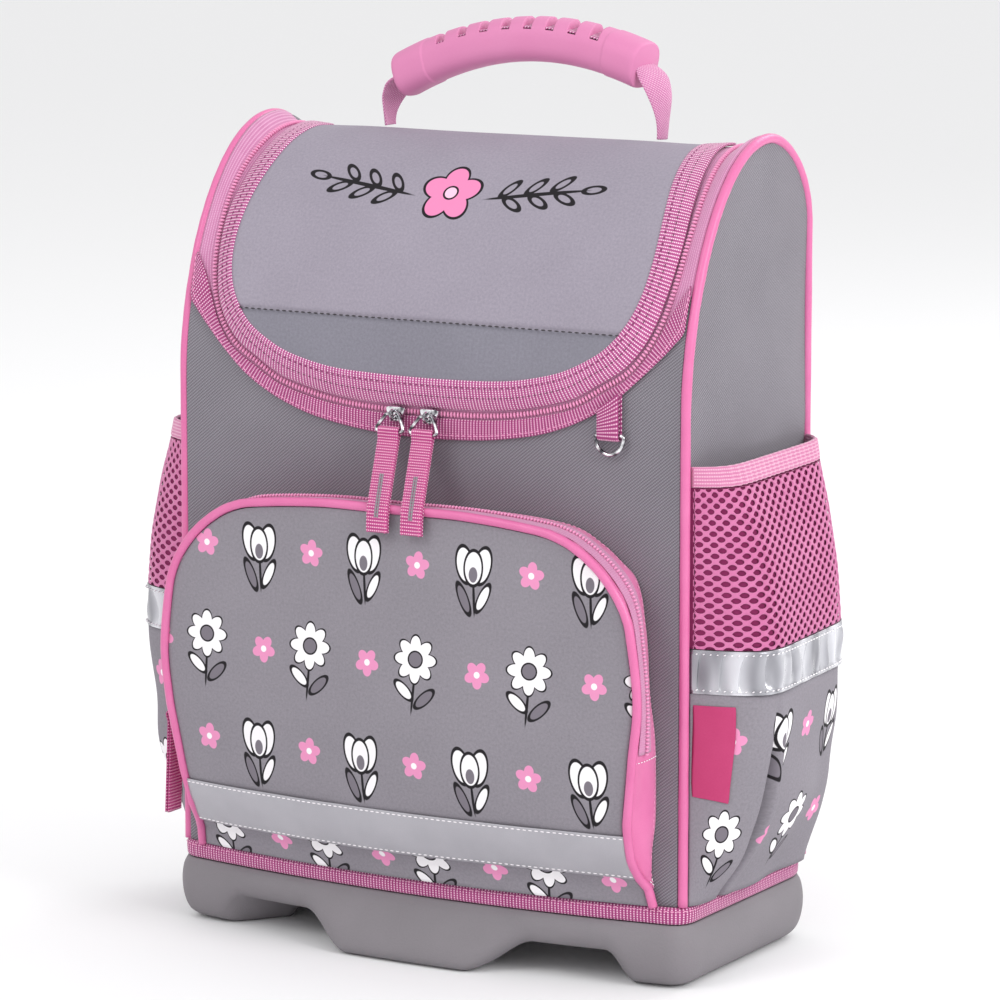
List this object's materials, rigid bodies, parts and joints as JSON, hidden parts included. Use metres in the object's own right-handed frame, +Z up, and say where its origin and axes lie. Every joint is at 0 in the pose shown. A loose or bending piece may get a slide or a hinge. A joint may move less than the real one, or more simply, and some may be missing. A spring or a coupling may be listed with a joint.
{
  "type": "school ransel",
  "caption": "Box-shaped school backpack with a zip-round lid, front pocket, net side pockets, moulded base with feet, grip handle and shoulder straps.",
  "frame": {"origin": "middle of the bounding box at the floor under the feet", "axes": "+Z up from the floor to the handle, +Y from the front pocket to the back with the shoulder straps, +X to the right of the front"},
  "size_m": [0.3378, 0.2004, 0.4292],
  "materials": {
    "grey_twill": "polyester twill, matt",
    "lilac_grey": "smooth coated cloth, matt, lilac-grey above a sewn seam and darker grey below it",
    "print_cloth": "smooth coated cloth with a printed pattern of flowers and stars",
    "pink_piping": "coated piping cord and cloth",
    "pink_grosgrain": "ribbed binding tape with light threads",
    "rose_pink": "ribbed binding tape and ribbon",
    "pale_pink": "woven zip tape and elastic",
    "hot_pink_net": "soft knitted net",
    "silver_strip": "retroreflective strip",
    "warm_grey_base": "moulded base, fine texture",
    "steel": "plated",
    "grip_pink": "soft moulded grip",
    "dark_foam": "air mesh over foam",
    "adjuster_plastic": "moulded buckle"
  },
  "bodies": {
    "root": {"front_panel": "grey_twill", "lid": "lilac_grey", "lid_binding": "pink_grosgrain", "zip_tape": "pale_pink", "zip_coil": "pink_grosgrain", "opening_binding": "rose_pink", "back_panel": "grey_twill", "back_pad": "dark_foam", "base_trim": "pink_grosgrain", "base_tray": "warm_grey_base", "pocket_front": "print_cloth", "pocket_gusset": "pink_piping", "pocket_piping": "pink_piping", "pocket_zip_coil": "pink_grosgrain", "pocket_strip": "silver_strip", "handle_grip": "grip_pink", "side_label": "pink_piping", "zip_slider_left": "steel", "zip_slider_right": "steel", "pull_ring_left": "steel", "pull_ring_right": "steel", "zip_pull_left": "rose_pink", "zip_pull_right": "rose_pink", "pocket_slider": "steel", "pocket_pull": "rose_pink", "ring_strap": "rose_pink", "d_ring": "steel", "side_panel_left": "grey_twill", "piping_left": "pink_piping", "side_print_left": "print_cloth", "side_strip_left": "silver_strip", "side_mesh_left": "hot_pink_net", "side_band_left": "pale_pink", "handle_webbing_left": "pink_grosgrain", "shoulder_strap_left": "dark_foam", "strap_webbing_left": "rose_pink", "strap_adjuster_left": "adjuster_plastic", "side_panel_right": "grey_twill", "piping_right": "pink_piping", "side_print_right": "print_cloth", "side_strip_right": "silver_strip", "side_mesh_right": "hot_pink_net", "side_band_right": "pale_pink", "handle_webbing_right": "pink_grosgrain", "shoulder_strap_right": "dark_foam", "strap_webbing_right": "rose_pink", "strap_adjuster_right": "adjuster_plastic"}
  },
  "joints": []
}
